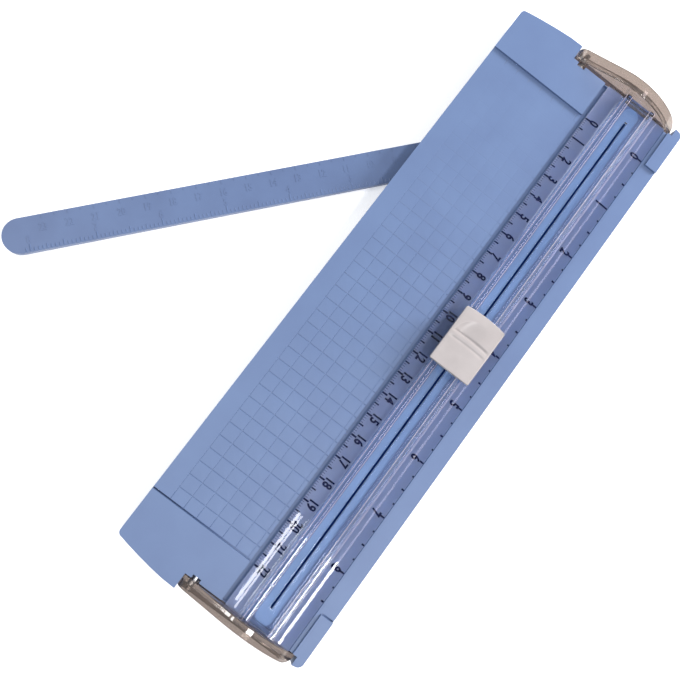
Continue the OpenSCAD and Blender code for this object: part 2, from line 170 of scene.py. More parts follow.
camera_data = bpy.data.cameras.new("photo_camera")
camera_data.lens = CAMERA_LENS
camera_data.sensor_width = CAMERA_SENSOR
camera_data.clip_start = CAMERA_NEAR
camera = bpy.data.objects.new("photo_camera", camera_data)
camera.location = CAMERA_AT
camera.rotation_euler = [math.radians(a) for a in CAMERA_TURN]
scene.collection.objects.link(camera)
scene.camera = camera


# The base: one injection moulding of light blue ABS with a satin grain, a paper bed between two raised end
# blocks, a pocket for an arm at each end and ribs below. A square grid and shallow channels are moulded
# into the bed, and the upright corners are rounded. It stands on rubber feet.
BASE_EDGE = 0.45 * MM
SAME_POINT = 0.001 * MM
FLAT_TURN = 0.5
CREST_TURN = 12
EDGE_TURN = 35
EDGE_SEGMENTS = 4
SHARP_TURN = math.radians(32)
PLASTIC_IOR = 1.53
GLOSS_SWING = 0.07
BED_Z = 13.8 * MM
GRID_PITCH = 6.0 * MM
GRID_FIRST_X = -54.0 * MM
GRID_LONG_LINES = 7
GRID_FIRST_Y = -104.0 * MM
GRID_CROSS_LINES = 36
GRID_RIGHT = -16.6 * MM
GRID_REACH = 109.2 * MM
GRID_FADE_Y = (10 * MM, 90 * MM)
GRID_FADE = (1.0, 0.3)
GROOVE_W = 0.62 * MM
GROOVE_FLOOR = 0.3
GROOVE_DEPTH = 0.2 * MM
CUT_CLEAR = 0.03 * MM
CUT_TOP = BED_Z + 3 * MM
# Channels beside the rail: left and right side, and floor.
CHANNELS = ((-16.4 * MM, -14.55 * MM, 12.4 * MM), (14.5 * MM, 15.0 * MM, 13.4 * MM))
CHANNEL_Y = 126.9 * MM
STOP_GROOVES_X = ((-62 * MM, -16.7 * MM), (16.8 * MM, 23 * MM))
STOP_GROOVE_Y = (-109.9 * MM, -109.3 * MM)
STOP_FLOOR = 13.5 * MM
STOP_TOP = BED_Z + 0.6 * MM
# Upright corners: side of the base, the way into it along X, and radius.
BASE_CORNERS = ((-61.5 * MM, 1, 2.0 * MM), (22 * MM, -1, 2.6 * MM))
CORNER_Y = 130 * MM
CORNER_Z = (0, 20 * MM)
CORNER_POINTS = 11
END_SLOPE = math.radians(12.4)
POCKET_X = -33.3 * MM
POCKET_Y = 127.0 * MM
POCKET_TIP = 133.0 * MM
POCKET_FIND = 0.5 * MM
POCKET_CLOSE = 0.33 * MM
POCKET_EASE = 0.3 * MM


def moulded_plastic(name, dark, light, roughness, grain, relief, patch=18 * MM, shine=0.5):
    """Moulded plastic: a cloudy tone from slow noise, and a fine grain that turns gloss and relief."""
    material, tree, coords = new_material(name)
    cloud = add_node(tree, "TexNoise", {"Scale": 1 / patch, "Detail": 3.0}, {"Vector": coords})
    tone = add_node(
        tree, "ValToRGB", {"stops": ((0.32, dark), (0.68, light))}, {"Fac": cloud.outputs["Fac"]}
    )
    fine = add_node(tree, "TexNoise", {"Scale": 1 / grain, "Detail": 2.0}, {"Vector": coords})
    gloss = add_node(
        tree, "MapRange", {"To Min": roughness - GLOSS_SWING, "To Max": roughness + GLOSS_SWING},
        {"Value": fine.outputs["Fac"]},
    )
    bump = add_node(
        tree, "Bump", {"Strength": 0.5, "Distance": relief}, {"Height": fine.outputs["Fac"]}
    )
    shader = add_node(
        tree, "BsdfPrincipled", {"IOR": PLASTIC_IOR, "Specular IOR Level": shine},
        {"Base Color": tone.outputs["Color"], "Roughness": gloss.outputs["Result"],
         "Normal": bump.outputs["Normal"]},
    )
    finish_material(tree, shader)
    return material


def shade(mesh):
    """Smooth shading, but for the edges that turn by more than the sharp angle."""
    mesh.shade_smooth()
    mesh.set_sharp_from_angle(angle=SHARP_TURN)


def make_piece(name, points, faces, material, body, slot=None):
    """A mesh from arrays of points and faces, finished as a piece that rides on a body."""
    mesh = bpy.data.meshes.new(name)
    mesh.from_pydata(np.asarray(points).tolist(), [], [tuple(map(int, f)) for f in faces])
    mesh.materials.append(material)
    return finish_piece(name, mesh, body)


def finish_piece(name, mesh, body):
    """An object for a mesh, shaded evenly, that rides on a body."""
    shade(mesh)
    piece = bpy.data.objects.new(name, mesh)
    scene.collection.objects.link(piece)
    even = piece.modifiers.new("even shading", "WEIGHTED_NORMAL")
    even.keep_sharp = True
    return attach(piece, body)


def rounded_copy(name, node, width, material, least=1.5 * MM, crest=0.0):
    """A copy of a solid, its flats joined, its long outer edges rounded, and blunt crests rounded wider."""
    build = bmesh.new()
    build.from_mesh(frame["nodes"][node].data)
    bmesh.ops.remove_doubles(build, verts=build.verts, dist=SAME_POINT)
    bmesh.ops.dissolve_limit(
        build, angle_limit=math.radians(FLAT_TURN), verts=build.verts, edges=build.edges
    )
    for bluntest, sharpest, offset in ((CREST_TURN, EDGE_TURN, crest), (EDGE_TURN, 180, width)):
        outer = [
            e for e in build.edges
            if e.is_manifold and e.calc_length() > least
            and math.radians(bluntest) < e.calc_face_angle_signed() < math.radians(sharpest)
        ]
        if offset:
            bmesh.ops.bevel(
                build, geom=outer, offset=offset, segments=EDGE_SEGMENTS, profile=0.5, affect="EDGES",
                clamp_overlap=True,
            )
    mesh = bpy.data.meshes.new(name)
    build.to_mesh(mesh)
    build.free()
    mesh.materials.append(material)
    return mesh


def turn_outward(mesh):
    """Turns the faces of closed shells so that they all point outwards."""
    build = bmesh.new()
    build.from_mesh(mesh)
    bmesh.ops.recalc_face_normals(build, faces=build.faces)
    build.to_mesh(mesh)
    build.free()


def read_rows(items, name):
    """A value of three numbers, such as a place or a normal, of all points or faces, as rows."""
    values = np.empty(3 * len(items))
    items.foreach_get(name, values)
    return values.reshape(-1, 3)


def slab(xs, ys, low, high):
    """A closed slab on one grid of x and y lines, between a lower and an upper height at each crossing."""
    x, y = np.meshgrid(xs, ys, indexing="ij")
    sheets = [np.stack([x, y, np.broadcast_to(z, x.shape)], -1).reshape(-1, 3) for z in (low, high)]
    rows, cols = x.shape
    number = np.arange(rows * cols).reshape(rows, cols)
    quads = np.stack([number[:-1, :-1], number[1:, :-1], number[1:, 1:], number[:-1, 1:]], -1)
    quads = quads.reshape(-1, 4)
    rim = np.concatenate([number[:-1, 0], number[-1, :-1], number[:0:-1, -1], number[0, :0:-1]])
    after = np.roll(rim, -1)
    wall = np.stack([rim, after, after + rows * cols, rim + rows * cols], -1)
    return np.concatenate(sheets), np.concatenate([quads[:, ::-1], quads + rows * cols, wall])


def bars(low, high):
    """Closed bars from arrays of low and high corners: the eight corners of each, and its six faces."""
    low, high = np.broadcast_arrays(np.asarray(low, float), np.asarray(high, float))
    square = np.array([[0, 0], [1, 0], [1, 1], [0, 1]])
    pick = np.column_stack([np.tile(square, (2, 1)), np.repeat([0, 1], 4)])
    points = np.where(pick, high[:, None, :], low[:, None, :]).reshape(-1, 3)
    sides = np.array([
        [0, 3, 2, 1], [4, 5, 6, 7], [0, 1, 5, 4], [1, 2, 6, 5], [2, 3, 7, 6], [3, 0, 4, 7],
    ])
    return points, (sides + 8 * np.arange(len(low))[:, None, None]).reshape(-1, 4).tolist()


def joined(parts):
    """Several parts as one list of points and one of faces."""
    starts = np.cumsum([0] + [len(points) for points, _ in parts])
    faces = [[i + start for i in face] for (_, part), start in zip(parts, starts) for face in part]
    return np.concatenate([points for points, _ in parts]), faces


def loft(rings):
    """Faces between rings of points that all have the same count, closed by one face at each end."""
    count = rings.shape[1]
    number = np.arange(rings.shape[0] * count).reshape(rings.shape[:2])
    ahead = np.roll(number, -1, 1)
    sides = np.stack([number[:-1], ahead[:-1], ahead[1:], number[1:]], -1).reshape(-1, 4)
    faces = sides.tolist() + [number[0][::-1].tolist(), number[-1].tolist()]
    return rings.reshape(-1, 3), faces


def corner_cut(x, into, side, r):
    """The prism that rounds an upright corner: an arc touching side and sloping end, closed outside."""
    corner = np.array([x, side * CORNER_Y])
    along = np.array([[0, -side], [into * math.cos(END_SLOPE), side * math.sin(END_SLOPE)]])
    inward = along.sum(0) / np.linalg.norm(along.sum(0))
    half = (math.pi / 2 + END_SLOPE) / 2
    start, end = corner + along * r / math.tan(half)
    middle = corner + inward * r / math.sin(half)
    lean = np.linspace(start - middle, end - middle, CORNER_POINTS)
    bend = middle + r * lean / np.linalg.norm(lean, axis=1, keepdims=True)
    outline = np.concatenate([bend, [end - r * inward, corner - r * inward, start - r * inward]])
    rings = [np.column_stack([outline, np.full(len(outline), z)]) for z in CORNER_Z]
    return loft(np.array(rings))


def groove_lines(first, count):
    """Grid lines across parallel grooves, four to a groove, and the share of its depth at each line."""
    centres = first + GRID_PITCH * np.arange(count)
    across = GROOVE_W / 2 * np.array([-1, -GROOVE_FLOOR, GROOVE_FLOOR, 1])
    share = np.tile([0.0, 1.0, 1.0, 0.0], count)
    return (centres[:, None] + across).ravel(), share


# Blue ABS: satin, a little cloudy, with a moulded grain of about 0.4 mm that softens every highlight.
blue_abs = moulded_plastic(
    "blue ABS, satin moulded", "#5D7299", "#61779E", roughness=0.46, grain=0.4 * MM, relief=0.012 * MM
)
base_mesh = rounded_copy("base_body", "base_shell", BASE_EDGE, blue_abs)

# The inner wall of each pocket is drawn up to the arm's eye, and the pocket's outer tip is eased back.
base_points = read_rows(base_mesh.vertices, "co")
base_y = np.abs(base_points[:, 1])
pocket_wall = (np.abs(base_points[:, 0] - POCKET_X) < POCKET_FIND) & (base_y > POCKET_Y)
pocket_tip = pocket_wall & (base_y > POCKET_TIP)
base_points[pocket_wall, 0] += POCKET_CLOSE
base_points[pocket_tip, 1] -= POCKET_EASE * np.sign(base_points[pocket_tip, 1])
base_mesh.vertices.foreach_set("co", base_points.ravel())
base = finish_piece("base_body", base_mesh, "base")

# One cutter holds the grid's relief, the channels, the grooves at the near block and the corner prisms.
long_x, long_share = groove_lines(GRID_FIRST_X, GRID_LONG_LINES)
cross_y, cross_share = groove_lines(GRID_FIRST_Y, GRID_CROSS_LINES)
cut_x = np.concatenate([long_x, [GRID_RIGHT]])
cut_y = np.concatenate([[-GRID_REACH], cross_y, [GRID_REACH]])
depth = np.maximum.outer(np.append(long_share, 0), np.concatenate([[0], cross_share, [0]]))
depth = depth * np.interp(cut_y, GRID_FADE_Y, GRID_FADE)
cut_low = BED_Z + CUT_CLEAR - (GROOVE_DEPTH + CUT_CLEAR) * depth
grid_points, grid_faces = slab(cut_x, cut_y, cut_low, CUT_TOP)
channel_low = [(x0, -CHANNEL_Y, floor_z) for x0, _, floor_z in CHANNELS]
channel_high = [(x1, CHANNEL_Y, CUT_TOP) for _, x1, _ in CHANNELS]
channel_low += [(x0, STOP_GROOVE_Y[0], STOP_FLOOR) for x0, _ in STOP_GROOVES_X]
channel_high += [(x1, STOP_GROOVE_Y[1], STOP_TOP) for _, x1 in STOP_GROOVES_X]
corner_cuts = [corner_cut(x, into, side, r) for x, into, r in BASE_CORNERS for side in (-1, 1)]
cut_points, cut_faces = joined(
    [(grid_points, grid_faces.tolist()), bars(channel_low, channel_high), *corner_cuts]
)
cut_mesh = bpy.data.meshes.new("bed_grid_cut")
cut_mesh.from_pydata(cut_points.tolist(), [], cut_faces)
turn_outward(cut_mesh)
cutter = bpy.data.objects.new("bed_grid_cut", cut_mesh)
scene.collection.objects.link(cutter)
base.modifiers.clear()
carve = base.modifiers.new("bed grid", "BOOLEAN")
carve.operation = "DIFFERENCE"
carve.solver = "EXACT"
carve.object = cutter
carved = bpy.data.meshes.new_from_object(base.evaluated_get(bpy.context.evaluated_depsgraph_get()))
base.modifiers.clear()
base.data = carved
shade(carved)
base.modifiers.new("even shading", "WEIGHTED_NORMAL").keep_sharp = True
bpy.data.objects.remove(cutter)
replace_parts(base, "base_shell")


# The cutting strip: a narrow strip of lighter blue polypropylene let into the deck under the rail, with
# the groove that the blade's tip runs in. It lies in its channel and is held by its round ends.
STRIP_EDGE = 0.15 * MM
SCORE_HALF = 0.6 * MM


def face_corners(mesh):
    """The point numbers at all corners of a mesh's faces, in one row, and where each face starts in it."""
    corners = np.empty(len(mesh.loops), np.int32)
    mesh.loops.foreach_get("vertex_index", corners)
    starts = np.empty(len(mesh.polygons), np.int32)
    mesh.polygons.foreach_get("loop_start", starts)
    return corners, starts


# Polypropylene: waxy, so a little glossier and smoother than the deck round it.
strip_pp = moulded_plastic(
    "blue polypropylene strip", "#7291B9", "#7998C0", roughness=0.38, grain=0.5 * MM, relief=0.006 * MM
)
# The scored groove: torn by the blade, so dull and rough, and painted dark navy
# as the shade that falls in it.
scored_shaded_pp = moulded_plastic(
    "scored groove, painted shade", "#123070", "#1A3A7C", roughness=0.6, grain=0.3 * MM, relief=0.02 * MM,
    patch=5 * MM, shine=0.1,
)
strip_mesh = rounded_copy("strip_body", "cutting_strip", STRIP_EDGE, strip_pp)
strip_mesh.materials.append(scored_shaded_pp)
strip_corners, strip_starts = face_corners(strip_mesh)
corner_x = np.abs(read_rows(strip_mesh.vertices, "co")[strip_corners, 0])
# Painted shade: the faces inside the groove take the dark navy finish.
in_shaded_groove = np.maximum.reduceat(corner_x, strip_starts) < SCORE_HALF
strip_mesh.polygons.foreach_set("material_index", in_shaded_groove.astype(np.int32))
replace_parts(finish_piece("strip_body", strip_mesh, "base"), "cutting_strip")


# The feet: five moulded rubber buttons, each with a peg that is pushed into a boss under the base.
# Black rubber is matt and dusty, so its tone and gloss wander.
FOOT_EDGE = 0.35 * MM
FOOT_LEAST = 0.1 * MM
foot_rubber = moulded_plastic(
    "black moulded rubber", "#202124", "#2B2C30", roughness=0.78, grain=0.5 * MM, relief=0.02 * MM,
    patch=3 * MM,
)
for corner in ("far_left", "far_right", "near_left", "near_right", "centre"):
    foot_mesh = rounded_copy("rubber_foot_" + corner, "foot_" + corner, FOOT_EDGE, foot_rubber, FOOT_LEAST)
    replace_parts(finish_piece("rubber_foot_" + corner, foot_mesh, "base"), "foot_" + corner)


# The clear rail: a long extrusion of clear acrylic with bevelled strips, a C-shaped track and a slot
# for the blade. It is glued to the two end arms, and its scales are screen printed under it.
RAIL_EDGE = 0.3 * MM
RAIL_LEAST = 0.8 * MM
RAIL_CREST = 1.8 * MM
ACRYLIC_IOR = 1.49
ACRYLIC_SHADE = "#AAACB4"
DIE_LINE_W = 0.9 * MM
DIE_LINE_LENGTH = 3.0
DIE_LINE_RELIEF = 0.02 * MM
LIP_TOP = 18.7 * MM
LIP_MID = 5.75 * MM
LIP_CUTS = 21
LIP_STEP = 0.125 * MM
LIP_ROUND = 14.0 * MM
LIP_RIPPLE = 0.03 * MM
LIP_PERIOD = 1.0 * MM
SCUFF_HIGHLIGHT_Z = LIP_TOP - 0.4 * MM
SCUFF_HIGHLIGHT_LEAN = 0.3
SCUFF_HIGHLIGHT_UP = 0.2
FACES_DOWN = -0.9
UNDERSIDE_SKIN = 0.1 * MM
SCALE_STRIP_X = 8 * MM


def clear_plastic(name, colour, shade_colour, ior, roughness, clear):
    """Clear plastic: refracting and tinted, with fine die lines along Y. Lamps shine through it, shaded."""
    material, tree, coords = new_material(name)
    stretch = (1 / DIE_LINE_W, 1 / DIE_LINE_LENGTH, 1 / DIE_LINE_W)
    lines = add_node(tree, "Mapping", {"Scale": stretch}, {"Vector": coords})
    marks = add_node(tree, "TexNoise", {"Scale": 1.0, "Detail": 2.0}, {"Vector": lines.outputs["Vector"]})
    bump = add_node(
        tree, "Bump", {"Strength": 1.0, "Distance": DIE_LINE_RELIEF}, {"Height": marks.outputs["Fac"]}
    )
    shader = add_node(
        tree, "BsdfPrincipled",
        {"Base Color": srgb(colour), "Roughness": roughness, "IOR": ior, "Transmission Weight": clear},
        {"Normal": bump.outputs["Normal"]},
    )
    lamp = add_node(tree, "LightPath", {}, {})
    window = add_node(tree, "BsdfTransparent", {"Color": srgb(shade_colour)}, {})
    both = add_node(
        tree, "MixShader", {}, {0: lamp.outputs["Is Shadow Ray"], 1: shader.outputs[0], 2: window.outputs[0]}
    )
    finish_material(tree, both)
    return material


# Acrylic: water clear and polished by the die. Its lip edges are scuffed by the slider, so they are frosted,
# and their pale pinkish white is a painted highlight along them. The strips' undersides are matt from the
# print and the paper.
clear_acrylic = clear_plastic(
    "clear acrylic, extruded", "#E8EDF6", ACRYLIC_SHADE, ACRYLIC_IOR, roughness=0.0, clear=1.0
)
scuffed_highlight_acrylic = clear_plastic(
    "clear acrylic, scuffed edge, painted highlight", "#FBECF4", ACRYLIC_SHADE, ACRYLIC_IOR, roughness=0.25, clear=0.45
)
# Its darker tint is painted shade on the deck and print seen under the scale strips.
matt_shaded_acrylic = clear_plastic(
    "clear acrylic, matt underside, painted shade", "#BEC6D7", ACRYLIC_SHADE, ACRYLIC_IOR, roughness=0.3, clear=1.0
)
rail_low, rail_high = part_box("guide_rail")
rail_mesh = rounded_copy("rail_body", "guide_rail", RAIL_EDGE, clear_acrylic, RAIL_LEAST, RAIL_CREST)
sliced = bmesh.new()
sliced.from_mesh(rail_mesh)
for place in LIP_STEP * (np.arange(LIP_CUTS) - (LIP_CUTS - 1) / 2):
    for side in (-1, 1):
        everything = [*sliced.verts, *sliced.edges, *sliced.faces]
        bmesh.ops.bisect_plane(
            sliced, geom=everything, plane_co=(side * (LIP_MID + place), 0, 0), plane_no=(1, 0, 0)
        )
sliced.to_mesh(rail_mesh)
sliced.free()

# The lips' tops fall off from their middle as a shallow arc, less the ripple that the die leaves.
rail_points = read_rows(rail_mesh.vertices, "co")
on_lip = rail_points[:, 2] > LIP_TOP
from_mid = np.abs(rail_points[on_lip, 0]) - LIP_MID
rail_points[on_lip, 2] -= from_mid ** 2 / (2 * LIP_ROUND)
rail_points[on_lip, 2] -= LIP_RIPPLE * np.sin(np.pi * from_mid / LIP_PERIOD) ** 2
rail_mesh.vertices.foreach_set("co", rail_points.ravel())
rail_mesh.update()
rail_mesh.materials.append(scuffed_highlight_acrylic)
rail_mesh.materials.append(matt_shaded_acrylic)
facing = read_rows(rail_mesh.polygons, "normal")
centre = read_rows(rail_mesh.polygons, "center")
# Painted highlight: the sloping upper edges of the lips take the pale scuffed finish.
scuffed_highlight = (centre[:, 2] > SCUFF_HIGHLIGHT_Z) & (np.abs(facing[:, 0]) > SCUFF_HIGHLIGHT_LEAN) & (facing[:, 2] > SCUFF_HIGHLIGHT_UP)
underside = (facing[:, 2] < FACES_DOWN) & (centre[:, 2] < rail_low.z + UNDERSIDE_SKIN)
# Painted shade: the scale strips' undersides take the darker matt tint.
shaded_under_scale = underside & (np.abs(centre[:, 0]) > SCALE_STRIP_X)
finish_index = np.select([scuffed_highlight, shaded_under_scale], [1, 2], 0)
rail_mesh.polygons.foreach_set("material_index", finish_index.astype(np.int32))
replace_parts(finish_piece("rail_body", rail_mesh, "rail"), "guide_rail")


# The printed scales: black screen ink on the underside of the rail, centimetres on the left strip and
# inches on the right one. Numbers read along the rail, with their tops towards +X.
INK_T = 0.025 * MM
INK_UP = 0.01 * MM
INK_BOLD = 0.19 * MM
SCALE_ZERO_Y = 110.0 * MM
CM = 10 * MM
CM_COUNT = 22
CM_TICK = (-14.45 * MM, -12.0 * MM)
HALF_TICK = (-14.3 * MM, -12.4 * MM)
MILLI_TICK = (-14.2 * MM, -13.3 * MM)
CM_NUMBER_X = -11.9 * MM
INCH = 25.4 * MM
INCH_COUNT = 8
INCH_TICK = (12.6 * MM, 14.4 * MM)
HALF_INCH_TICK = (13.2 * MM, 14.4 * MM)
QUARTER_TICK = (13.8 * MM, 14.4 * MM)
INCH_NUMBER_X = 8.8 * MM
NUMBER_H = 3.7 * MM
TICK_W = 0.72 * MM
HALF_TICK_W = 0.8 * TICK_W
FINE_TICK_W = 0.18 * MM
DIGIT_SHARE = 0.69
DIGIT_NARROW = 0.76
DIGIT_CURVE = 3


def number_solid(number, height, thick, bold):
    """A plain number as a thin closed solid, centred on its width, its foot at 0, its strokes widened."""
    curve = bpy.data.curves.new("number", "FONT")
    curve.body = str(number)
    curve.size = height / DIGIT_SHARE
    curve.align_x = "CENTER"
    curve.extrude = thick / 2
    curve.offset = bold
    curve.resolution_u = DIGIT_CURVE
    holder = bpy.data.objects.new("number", curve)
    scene.collection.objects.link(holder)
    mesh = bpy.data.meshes.new_from_object(holder.evaluated_get(bpy.context.evaluated_depsgraph_get()))
    build = bmesh.new()
    build.from_mesh(mesh)
    bmesh.ops.remove_doubles(build, verts=build.verts, dist=SAME_POINT)
    build.to_mesh(mesh)
    build.free()
    points = read_rows(mesh.vertices, "co") * [DIGIT_NARROW, 1, 1]
    corners, starts = face_corners(mesh)
    faces = [face.tolist() for face in np.split(corners, starts[1:])]
    bpy.data.objects.remove(holder)
    bpy.data.meshes.remove(mesh)
    bpy.data.curves.remove(curve)
    return points, faces


def laid(part, along, up, at):
    """A flat part laid with its reading direction and its top along two directions, at a point."""
    points, faces = part
    turn = np.array([along, up, np.cross(along, up)])
    return points @ turn + at, faces


def ticks(places, reach, width, z, crest=1.0):
    """Thin bars across X at places along Y, their tops narrowed to a share of their width."""
    places = np.asarray(places)
    low = np.stack([np.full(len(places), reach[0]), places - width / 2, np.full(len(places), z[0])], -1)
    high = np.stack([np.full(len(places), reach[1]), places + width / 2, np.full(len(places), z[1])], -1)
    points, faces = bars(low, high)
    tops = points.reshape(-1, 8, 3)[:, 4:, 1]
    tops += (crest - 1) * (tops - places[:, None])
    return points, faces


# Screen ink: flat and dense, with no shine of its own. The fine ticks let some of the deck's blue through.
screen_ink = moulded_plastic(
    "black screen ink", "#0A1238", "#101A46", roughness=0.5, grain=0.6 * MM, relief=0.002 * MM,
    patch=4 * MM, shine=0.0,
)
fine_ink = moulded_plastic(
    "thin grey screen ink", "#4A557A", "#566188", roughness=0.5, grain=0.6 * MM, relief=0.002 * MM,
    patch=4 * MM, shine=0.0,
)
ink_z = (rail_low.z + INK_UP, rail_low.z + INK_UP + INK_T)
ink_mid = sum(ink_z) / 2
centimetres = SCALE_ZERO_Y - CM * np.arange(CM_COUNT + 1)
half_centimetres = centimetres[:-1] - CM / 2
millimetres = SCALE_ZERO_Y - MM * np.arange(10 * CM_COUNT + 1)
inches = SCALE_ZERO_Y - INCH * np.arange(INCH_COUNT + 1)
half_inches = inches - INCH / 2
quarters = np.concatenate([inches - INCH / 4, inches[:-1] - INCH * 3 / 4])
scale_parts = [
    ticks(centimetres, CM_TICK, TICK_W, ink_z),
    ticks(half_centimetres, HALF_TICK, HALF_TICK_W, ink_z),
    ticks(inches, INCH_TICK, TICK_W, ink_z),
    ticks(half_inches, HALF_INCH_TICK, TICK_W, ink_z),
    ticks(quarters, QUARTER_TICK, TICK_W, ink_z),
]
for marks_y, number_x in ((centimetres, CM_NUMBER_X), (inches, INCH_NUMBER_X)):
    for count, y in enumerate(marks_y):
        digits = number_solid(count, NUMBER_H, INK_T, INK_BOLD)
        scale_parts.append(laid(digits, (0, -1, 0), (1, 0, 0), (number_x, y, ink_mid)))
make_piece("scale_print", *joined(scale_parts), screen_ink, "rail")
make_piece("fine_scale_print", *ticks(millimetres, MILLI_TICK, FINE_TICK_W, ink_z), fine_ink, "rail")


# The end arms: clear polystyrene arches with a rim round a thin web, one at each end. Each closes the
# track with a tongue, is glued to the rail's end and carries a hinge pin at its round end.
ARM_DROP = 0.5 * MM
ARM_RIM = 1.4 * MM
ARM_WEB = 2.0 * MM
ARM_EDGE = 0.35 * MM
ARM_CORNER = 4.0 * MM
RIM_ROUND = 0.1
RIM_SHARES = (0, 0.01, 0.04, RIM_ROUND, 0.9, 0.96, 0.99, 1)
CROWN_R = 28.0 * MM
CROWN_X = -5.0 * MM
CROWN_POINTS = 40
EYE_POINTS = 20
FOOT_POINTS = 12
TONGUE_HALF = 5.7 * MM
TONGUE_IN = 125.2 * MM
TONGUE_Z = (15.5 * MM, 17.9 * MM)
GLUE_GAP = 0.02 * MM


def joint(name):
    """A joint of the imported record, by name."""
    return next(j for j in frame["joints"] if j["name"] == name)


def arc(centre, r, start, end, count):
    """Points on a circle from one angle to another, in degrees, both included."""
    a = np.radians(np.linspace(start, end, count))
    return np.stack([centre[0] + r * np.cos(a), centre[1] + r * np.sin(a)], -1)


def arm_outline(hinge, low, high):
    """An arm's side view: a round hinge end and a round crown with their common tangent, then flat sides."""
    eye_r = hinge.x - low.x
    crown = np.array([CROWN_X, high.z - CROWN_R])
    eye = np.array([hinge.x, hinge.z])
    span = np.linalg.norm(crown - eye)
    tilt = math.degrees(math.atan2(crown[1] - eye[1], crown[0] - eye[0]))
    lean = tilt + math.degrees(math.asin((CROWN_R - eye_r) / span))
    last = math.degrees(math.acos((high.x - CROWN_X) / CROWN_R))
    foot_z = hinge.z - eye_r
    bottom = np.linspace([high.x, foot_z], [hinge.x, foot_z], FOOT_POINTS)[:-1]
    return np.concatenate([
        arc(eye, eye_r, 270, 90 + lean, EYE_POINTS),
        arc(crown, CROWN_R, 90 + lean, last, CROWN_POINTS),
        bottom,
    ])


def drawn_in(outline, inset):
    """An outline that runs clockwise, moved inwards by an inset along its corners' mitres."""
    ahead = np.roll(outline, -1, 0) - outline
    ahead /= np.linalg.norm(ahead, axis=1, keepdims=True)
    inward = np.stack([ahead[:, 1], -ahead[:, 0]], -1)
    before = np.roll(inward, 1, 0)
    share = 1 + np.sum(inward * before, 1, keepdims=True)
    return outline + inset * (inward + before) / share


def rimmed_arch(outline, inner_y, out, free_x):
    """An arch as rings, by inset and depth: out from its inner face, over the rim and down to the web."""
    def outer_y(x):
        past = np.clip(x - free_x + ARM_CORNER, 0, ARM_CORNER)
        return out - ARM_CORNER + np.sqrt(ARM_CORNER ** 2 - past ** 2)

    rings = []
    for share in RIM_SHARES:
        from_face = min(share, 1 - share) / RIM_ROUND
        xz = drawn_in(outline, ARM_DROP * (1 - math.sqrt(1 - max(1 - from_face, 0) ** 2)))
        rings.append(np.stack([xz[:, 0], inner_y + share * (outer_y(xz[:, 0]) - inner_y), xz[:, 1]], -1))
    for inset, fall in ((ARM_RIM - ARM_EDGE / 2, 0), (ARM_RIM, ARM_EDGE / 2)):
        xz = drawn_in(outline, inset)
        rings.append(np.stack([xz[:, 0], outer_y(xz[:, 0]) - fall, xz[:, 1]], -1))
    for inset, fall in ((ARM_RIM, ARM_EDGE), (ARM_RIM + ARM_EDGE, 0)):
        xz = drawn_in(outline, inset)
        rings.append(np.stack([xz[:, 0], np.full(len(xz), inner_y + ARM_WEB + fall), xz[:, 1]], -1))
    return loft(np.array(rings))


# Polystyrene: glass clear where it is thin, brownish grey where its rim is seen along its length.
clear_styrene = clear_plastic(
    "clear polystyrene, moulded", "#8C8079", "#F4F2F0", ior=1.55, roughness=0.01, clear=0.86
)
hinge = Vector(joint("rail_lift")["pos_m"])
for end, side in (("far", 1), ("near", -1)):
    arm_low, arm_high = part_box("end_arm_" + end)
    arm_out = max(arm_high.y, -arm_low.y)
    arch = rimmed_arch(arm_outline(hinge, arm_low, arm_high), rail_high.y, arm_out, arm_high.x)
    tongue = bars(
        [[-TONGUE_HALF, TONGUE_IN, TONGUE_Z[0]]], [[TONGUE_HALF, rail_high.y - GLUE_GAP, TONGUE_Z[1]]]
    )
    points, faces = joined([arch, tongue])
    points = points * [1, side, 1]
    arm = make_piece("arm_" + end, points, faces, clear_styrene, "rail", "clear_plastic")
    turn_outward(arm.data)
    shade(arm.data)
    arm.data.materials.append(clear_acrylic)
    in_tongue = np.arange(len(faces)) >= len(arch[1])
    arm.data.polygons.foreach_set("material_index", in_tongue.astype(np.int32))
    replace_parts(arm, "end_arm_" + end)


# The slider's thumb cap: white glossy ABS, open below to straddle the track, with a half-round scoop
# for the thumb, a cross ridge and a plain half that slopes away. It is pegged to the blade holder.
CAP_EDGE = 0.45 * MM
CAP_EDGE_STEPS = 7
CAP_CORNER = 0.6 * MM
CAP_X_STEPS = 34
CAP_Y_STEPS = 180
CAP_HOLLOW = 7.6 * MM
CAP_HOLLOW_STEP = 0.02 * MM
CAP_CEILING = 21.3 * MM
CAP_SKIN = 0.2 * MM
SCOOP_R = 7.6 * MM
SCOOP_DEPTH = 2.9 * MM
SCOOP_LEAN = 3
SCOOP_FACE = 1.0 * MM
RIDGE_FAR = 1.8 * MM
RIDGE_NEAR = -0.9 * MM
VALLEYS = ((1.85 * MM, 0.5 * MM), (-0.95 * MM, 0.3 * MM))
VALLEY_W = 0.6 * MM
VALLEY_HALF = 8.9 * MM
VALLEY_FADE = 2.5 * MM
SLOPE_DROP = 0.7 * MM
CAP_BEND = 0.75 * MM
CAP_BEND_SPAN = 1.8
SKIRT_SET = (0.8 * MM, 1.1 * MM)


def ease(t):
    """A smooth step from 0 to 1: three times the square less twice the cube, held outside."""
    t = np.clip(t, 0, 1)
    return t * t * (3 - 2 * t)


def edge_drop(distance, r):
    """How far a rounded edge has fallen, a quarter circle of a radius, at a distance in from the edge."""
    inside = np.clip(distance, 0, r)
    return r - np.sqrt(r * r - (r - inside) ** 2)


